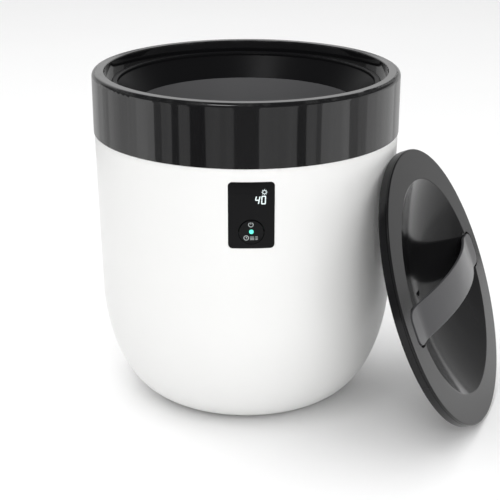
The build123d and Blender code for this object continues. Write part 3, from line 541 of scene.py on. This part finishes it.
for part in frame["record"]["subparts"]:
    cadObject = nodes[part["node"]]
    cadObject.data.materials.clear()
    cadObject.data.materials.append(finishes[part["material_slot"]])
print("finishes set:", len(finishes))


# Marks on the panel, in plain millimetres across (x) and up (z)

markWhite = glow("markWhite", (0.86, 0.97, 0.97), 1.15)
# The key's printed marks get a painted glow, though they are no lamp
keyPrintPaintedGlow = glow("keyPrintPaintedGlow", (0.8, 0.86, 0.86), 0.75)
weld = 1e-7

fascia = {"radius": 164.45 * mm, "height": 300.5 * mm, "draft": 3.0 / 174.5}


def fasciaFront(x, z):
    # y of the curved front at this place
    radius = fascia["radius"] - fascia["draft"] * (fascia["height"] - z)
    return -sqrt(radius**2 - x**2)


def meshObject(name, bm, material=None):
    data = bpy.data.meshes.new(name)
    bm.to_mesh(data)
    bm.free()
    if material:
        data.materials.append(material)
    made = bpy.data.objects.new(name, data)
    bpy.context.scene.collection.objects.link(made)
    return made


def meshPiece(name, bm, material, body):
    bmesh.ops.remove_doubles(bm, verts=bm.verts, dist=weld)
    bmesh.ops.recalc_face_normals(bm, faces=bm.faces)
    piece = meshObject(name, bm, material)
    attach(piece, body)
    return piece


digits = {
    "centre": (8.9, 268.8),
    "height": 8.9,
    "width": 4.7,
    "gap": 1.4,
    "stroke": 1.15,
    "slant": [0.2, 0.03],
    "shown": ["bcfg", "abcdef"],
    "shortened": 0.62,
    "rounding": 0.3,
    "proud": 0.03,
    "depth": 0.12,
}

# Each segment's place across and up, and whether it lies flat
segments = {
    "a": (0, 1, True),
    "b": (1, 0.5, False),
    "c": (1, -0.5, False),
    "d": (0, -1, True),
    "e": (-1, -0.5, False),
    "f": (-1, 0.5, False),
    "g": (0, 0, True),
}


def makeDigits():
    bm = bmesh.new()
    reach = (digits["width"] - digits["stroke"]) / 2
    rise = (digits["height"] - digits["stroke"]) / 2
    for place, (shown, slant) in enumerate(zip(digits["shown"], digits["slant"])):
        middle = (place - 0.5) * (digits["width"] + digits["gap"])
        for name in shown:
            across, up, flat = segments[name]
            long = digits["width"] if flat else digits["height"] / 2
            long -= digits["stroke"] * digits["shortened"]
            width, height = (long, digits["stroke"]) if flat else (digits["stroke"], long)
            spot = Matrix.Translation((middle + across * reach, 0, up * rise))
            size = Matrix.Diagonal((width, 1, height, 1))
            for v in bmesh.ops.create_cube(bm, size=1, matrix=spot @ size)["verts"]:
                v.co.x += slant * v.co.z
    bmesh.ops.bevel(
        bm,
        geom=[e for e in bm.edges if abs(e.verts[0].co.y - e.verts[1].co.y) > 0.5],
        offset=digits["stroke"] * digits["rounding"],
        segments=2,
        profile=0.5,
        affect="EDGES",
        material=-1,
    )
    for v in bm.verts:
        x = (v.co.x + digits["centre"][0]) * mm
        z = (v.co.z + digits["centre"][1]) * mm
        proud = digits["proud"] if v.co.y < 0 else -digits["depth"]
        v.co = (x, fasciaFront(x, z) - proud * mm, z)
    meshPiece("panelDigits", bm, markWhite, "tub")


strokeLook = {"sink": 0.3, "rounding": 2, "arcSteps": 28}


def strokePiece(name, strokes, thickness, front, material, body):
    # Each stroke is a run of (x, z) points, laid on the surface that front gives
    line = bpy.data.curves.new(name, "CURVE")
    line.dimensions = "3D"
    line.bevel_depth = thickness / 2 * mm
    line.bevel_resolution = strokeLook["rounding"]
    line.use_fill_caps = True
    sink = thickness * strokeLook["sink"] * mm
    for points, closed in strokes:
        run = line.splines.new("POLY")
        run.points.add(len(points) - 1)
        run.use_cyclic_u = closed
        for spot, (x, z) in zip(run.points, points):
            spot.co = (x * mm, front(x * mm, z * mm) + sink, z * mm, 1)
    draft = bpy.data.objects.new(name + "Line", line)
    bpy.context.scene.collection.objects.link(draft)
    data = bpy.data.meshes.new_from_object(draft.evaluated_get(bpy.context.evaluated_depsgraph_get()))
    bpy.data.objects.remove(draft)
    bm = bmesh.new()
    bm.from_mesh(data)
    bpy.data.meshes.remove(data)
    meshPiece(name, bm, material, body)


def arc(centre, radius, start=0.0, sweep=360.0):
    steps = strokeLook["arcSteps"]
    whole = sweep >= 360
    count = steps if whole else steps + 1
    turn = [radians(start + sweep * i / steps) for i in range(count)]
    return [(centre[0] + radius * cos(t), centre[1] + radius * sin(t)) for t in turn], whole


sunMark = {
    "centre": (12.7, 276.9),
    "ring": 1.75,
    "rayFrom": 2.3,
    "rayTo": 2.95,
    "rays": 8,
    "stroke": 0.8,
}


def makeSun():
    cx, cz = sunMark["centre"]
    strokes = [arc((cx, cz), sunMark["ring"])]
    for i in range(sunMark["rays"]):
        t = 2 * pi * i / sunMark["rays"]
        reach = (sunMark["rayFrom"], sunMark["rayTo"])
        strokes.append(([(cx + far * cos(t), cz + far * sin(t)) for far in reach], False))
    strokePiece("panelSunMark", strokes, sunMark["stroke"], fasciaFront, markWhite, "tub")


# The power sign, the timer's clock and two stacks of lines. Openings are in degrees,
# and the clock's hands are shares of its radius
keyMarks = {
    "powerCentre": (-0.5, 243.4),
    "powerOpening": 64,
    "powerBar": (0.4, 2.5),
    "timerCentre": (-5.1, 229.7),
    "timerHands": (0.62, 0.4),
    "radius": 2.3,
    "stroke": 0.75,
    "levelCentre": (0.7, 229.2),
    "levelSize": (4.2, 2.8),
    "stackCentre": (5.1, 229.3),
    "stackSize": (2.4, 2.8),
    "lineStroke": 0.6,
    "face": 163.438,
}


def stackLines(centre, size):
    # Three short lines over each other
    x, z = centre
    half, rise = size[0] / 2, size[1] / 2
    return [([(x - half, z + up), (x + half, z + up)], False) for up in (-rise, 0, rise)]


def keyFace(x, z):
    # y of the key's flat face
    return -keyMarks["face"] * mm


def makeKeyMarks():
    px, pz = keyMarks["powerCentre"]
    tx, tz = keyMarks["timerCentre"]
    radius = keyMarks["radius"]
    opening = keyMarks["powerOpening"]
    barFrom, barTo = keyMarks["powerBar"]
    upHand, sideHand = keyMarks["timerHands"]
    rings = [
        arc((px, pz), radius, 90 + opening / 2, 360 - opening),
        ([(px, pz + barFrom), (px, pz + barTo)], False),
        arc((tx, tz), radius),
        ([(tx, tz + radius * upHand), (tx, tz), (tx + radius * sideHand, tz)], False),
    ]
    lines = stackLines(keyMarks["levelCentre"], keyMarks["levelSize"])
    lines += stackLines(keyMarks["stackCentre"], keyMarks["stackSize"])
    # The key's marks are print, given a painted glow
    strokePiece("keyRings", rings, keyMarks["stroke"], keyFace, keyPrintPaintedGlow, "rocker")
    strokePiece("keyLines", lines, keyMarks["lineStroke"], keyFace, keyPrintPaintedGlow, "rocker")


makeDigits()
makeSun()
makeKeyMarks()
print("panel marks laid")


# Cross recesses in the screws' heads, each cross turned on from the last by turnStep

recess = {
    "width": 0.8 * mm,
    "span": 3.0 * mm,
    "depth": 0.9 * mm,
    "narrowing": 0.35,
    "headLayer": 0.02 * mm,
    "turnStep": 1.1,
    "weld": 1e-6,
}


def screwIslands(bm):
    # Groups of joined vertices, one for each screw
    seen = set()
    groups = []
    for first in bm.verts:
        if first in seen:
            continue
        seen.add(first)
        group = [first]
        for vert in group:
            for edge in vert.link_edges:
                other = edge.other_vert(vert)
                if other not in seen:
                    seen.add(other)
                    group.append(other)
        groups.append(group)
    return groups


def addCross(bm, spot, outward, turn):
    # Two crossed slots that narrow inwards, as a driver's tip leaves them
    facing = outward.to_track_quat("Z", "Y").to_matrix().to_4x4()
    stand = Matrix.Translation(spot) @ facing @ Matrix.Rotation(turn, 4, "Z")
    size = Matrix.Diagonal((recess["span"], recess["width"], 2 * recess["depth"], 1))
    middle = spot - outward * recess["depth"]
    for quarter in (0, pi / 2):
        place = stand @ Matrix.Rotation(quarter, 4, "Z") @ size
        for v in bmesh.ops.create_cube(bm, size=1, matrix=place)["verts"]:
            if (v.co - spot).dot(outward) < 0:
                v.co = middle + (v.co - middle) * (1 - recess["narrowing"])


def crossHeads(node, outward, body, slot):
    # The node's own screws with a cross cut into each head
    outward = Vector(outward).normalized()
    bm = bmesh.new()
    bm.from_mesh(nodes[node].data)
    bmesh.ops.remove_doubles(bm, verts=bm.verts, dist=recess["weld"])
    cutter = bmesh.new()
    for number, group in enumerate(screwIslands(bm)):
        top = max(v.co.dot(outward) for v in group)
        head = [v.co for v in group if v.co.dot(outward) > top - recess["headLayer"]]
        spot = sum(head, Vector()) / len(head)
        addCross(cutter, spot, outward, number * recess["turnStep"])
    draft = meshObject(node + "Draft", bm)
    tool = meshObject(node + "Cutter", cutter)
    cut = draft.modifiers.new("cross", "BOOLEAN")
    cut.object = tool
    cut.operation = "DIFFERENCE"
    cut.solver = "EXACT"
    cut.use_self = True
    shaped = bpy.data.meshes.new_from_object(
        draft.evaluated_get(bpy.context.evaluated_depsgraph_get())
    )
    bpy.data.objects.remove(draft)
    bpy.data.objects.remove(tool)
    bm = bmesh.new()
    bm.from_mesh(shaped)
    bpy.data.meshes.remove(shaped)
    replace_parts(meshPiece(node + "Crossed", bm, finishes[slot], body), node)


lidLift = next(joint for joint in frame["joints"] if joint["name"] == "lid_lift")
crossHeads("base_screws", (0, 0, -1), "tub", "screw_steel")
crossHeads("lid_screws", -Vector(lidLift["axis"]), "lid", "screw_steel")
print("screw heads crossed")


# Floor and air

studio = {
    "floorSize": 30.0,
    "floorColour": (0.9, 0.9, 0.9),
    "floorRoughness": 0.6,
    "floorCloud": 2,
    "floorMottle": 0.01,
    "airLeft": (0.3, 0.3, 0.3),
    "airRight": (0.4, 0.4, 0.41),
    "airTop": (0.12, 0.12, 0.12),
    "airAcross": (-0.7, 0.9),
    "airUp": (0.35, 0.7),
    "airStrength": 0.5,
    "cameraSpot": (-0.0403, -1.3194, 0.6471),
    "cameraPitch": 20.40,
    "cameraHeading": 1.929,
    "lens": 89.74,
    "sensor": 36,
}


def stagePiece(name, bm, material):
    piece = meshObject(name, bm, material)
    return piece


def makeFloor():
    colour, mottle = studio["floorColour"], studio["floorMottle"]
    made = Finish("floorPale", colour, studio["floorRoughness"])
    cloud = made.noise(made.place(), studio["floorCloud"], 2)
    made.set(Base_Color=made.mix(cloud, shade(colour, 1 - mottle), shade(colour, 1 + mottle)))
    bm = bmesh.new()
    bmesh.ops.create_grid(bm, x_segments=1, y_segments=1, size=studio["floorSize"] / 2)
    stagePiece("floor", bm, made.material)


def makeAir():
    # The air's light: from left to right, and dimmer overhead
    world = bpy.data.worlds.new("studioAir")
    world.use_nodes = True
    bpy.context.scene.world = world
    air = Patch(world.node_tree)
    x, y, z = air.axes(air.node("TexCoord")["Generated"])
    sides = air.mix(air.fade(x, *studio["airAcross"]), studio["airLeft"], studio["airRight"])
    background = world.node_tree.nodes["Background"].inputs
    air.feed(background["Color"], air.mix(air.fade(z, *studio["airUp"]), sides, studio["airTop"]))
    air.feed(background["Strength"], studio["airStrength"])


makeFloor()
makeAir()


# Screens that only gloss shows

# Upright strips of light and dark round the tub. Angles are in degrees from straight ahead
# towards the right, and from each angle on, the screen has the brightness beside it. Both
# were worked out from the stripes on the photographed collar: where each lies, and how bright
strips = {
    "distance": 0.9,
    "low": 0.03,
    "high": 0.52,
    "wander": 0.012,
    "cloud": 0.6,
    "spread": (-180, 180),
    "angles": [
        (-180, 0.42),
        (-115, 0.55),
        (-90, 0.7),
        (-82, 0.82),
        (-67, 0.2),
        (-61, 0.42),
        (-53, 0.08),
        (-47, 0.36),
        (-39.5, 0.04),
        (-28.5, 0.34),
        (-11, 0.1),
        (7, 0.46),
        (32, 0.1),
        (37, 0.46),
        (45, 0.3),
        (49, 0.78),
        (70.5, 0.34),
        (79, 0.46),
        (88, 0.62),
        (111, 0.45),
    ],
}

# The ring above them, which the flat rim shows
brightRing = {
    "distance": 0.9,
    "low": 0.53,
    "high": 0.95,
    "wander": 0.02,
    "cloud": 0.2,
    "spread": (-180, 180),
    "angles": [(-180, 0.55), (-150, 0.3), (-130, 0.1), (130, 0.3), (150, 0.55)],
}

# A card at the back right, which the lid's flange shows
lidCard = {
    "distance": 0.85,
    "low": 0.08,
    "high": 0.32,
    "wander": 0.02,
    "cloud": 0.2,
    "spread": (106, 129),
    "angles": [(-180, 0.62), (0, 0.62)],
}

screens = {
    "sides": 96,
    "wanderStretch": (5, 5, 1.4),
    "wanderScale": 1.6,
    "cloudStretch": (9, 9, 2.2),
    "cloudScale": 1.0,
}


def makeScreen(name, look):
    # Part of a round wall that shines inwards and outwards, unevenly
    made = Finish(name + "Light", (0, 0, 0), 1.0, Emission_Strength=1.0)
    x, y, z = made.axes(made.place())
    wander = made.noise(made.place(screens["wanderStretch"]), screens["wanderScale"], 3) - 0.5
    turn = x.angle(0 - y) / (2 * pi) + 0.5 + wander * look["wander"]
    patches = made.noise(made.place(screens["cloudStretch"]), screens["cloudScale"], 4)
    cloud = patches * look["cloud"] + 1 - look["cloud"] / 2
    stops = [((angle + 180) / 360, level) for angle, level in look["angles"]]
    light = made.ramp(turn, stops, "CONSTANT")
    made.set(Emission_Color=made.node("VectorMath", {"operation": "SCALE"}, {0: light, 3: cloud})[0])
    bm = bmesh.new()
    first, last = look["spread"]
    posts = []
    for i in range(screens["sides"] + 1):
        bearing = radians(first + (last - first) * i / screens["sides"])
        foot = (look["distance"] * sin(bearing), -look["distance"] * cos(bearing))
        posts.append([bm.verts.new((*foot, height)) for height in (look["low"], look["high"])])
    for (low, high), (nextLow, nextHigh) in zip(posts, posts[1:]):
        bm.faces.new((low, nextLow, nextHigh, high))
    screen = stagePiece(name, bm, made.material)
    screen.visible_camera = False
    screen.visible_diffuse = False
    screen.visible_shadow = False
    screen.visible_transmission = False


makeScreen("stripScreen", strips)
makeScreen("brightScreen", brightRing)
makeScreen("cardScreen", lidCard)


# Lights and camera

softBoxes = {
    "keyLight": {
        "spot": (0.25, -2.5, 1.3),
        "target": (0, 0, 0.12),
        "size": (1.5, 1.2),
        "power": 20,
        "inGloss": False,
    },
    "topLight": {
        "spot": (-0.75, 0.6, 2.6),
        "target": (0, 0.2, 0),
        "size": (1.8, 1.8),
        "power": 13,
        "inGloss": False,
    },
    "ceilingLight": {
        "spot": (0, 0, 4.5),
        "target": (0, 0, 0),
        "size": (16, 16),
        "power": 950,
        "inGloss": False,
    },
    "glintLight": {
        "spot": (-0.5, -0.9, 2.2),
        "target": (0, 0, 0.3),
        "size": (0.5, 0.5),
        "power": 3,
        "inGloss": True,
    },
}


def makeSoftBox(name, look):
    light = bpy.data.lights.new(name, "AREA")
    light.shape = "RECTANGLE"
    light.size, light.size_y = look["size"]
    light.energy = look["power"]
    lamp = bpy.data.objects.new(name, light)
    lamp.location = look["spot"]
    towards = Vector(look["target"]) - Vector(look["spot"])
    lamp.rotation_euler = towards.to_track_quat("-Z", "Y").to_euler()
    lamp.visible_glossy = look["inGloss"]
    bpy.context.scene.collection.objects.link(lamp)


def makeCamera():
    data = bpy.data.cameras.new("studioCamera")
    data.lens = studio["lens"]
    data.sensor_width = studio["sensor"]
    camera = bpy.data.objects.new("studioCamera", data)
    camera.location = studio["cameraSpot"]
    pitch, heading = radians(90 - studio["cameraPitch"]), -radians(studio["cameraHeading"])
    camera.rotation_euler = (pitch, 0, heading)
    bpy.context.scene.collection.objects.link(camera)
    bpy.context.scene.camera = camera


for name, look in softBoxes.items():
    makeSoftBox(name, look)
makeCamera()
bpy.context.scene.view_settings.view_transform = "Standard"
print("studio set")
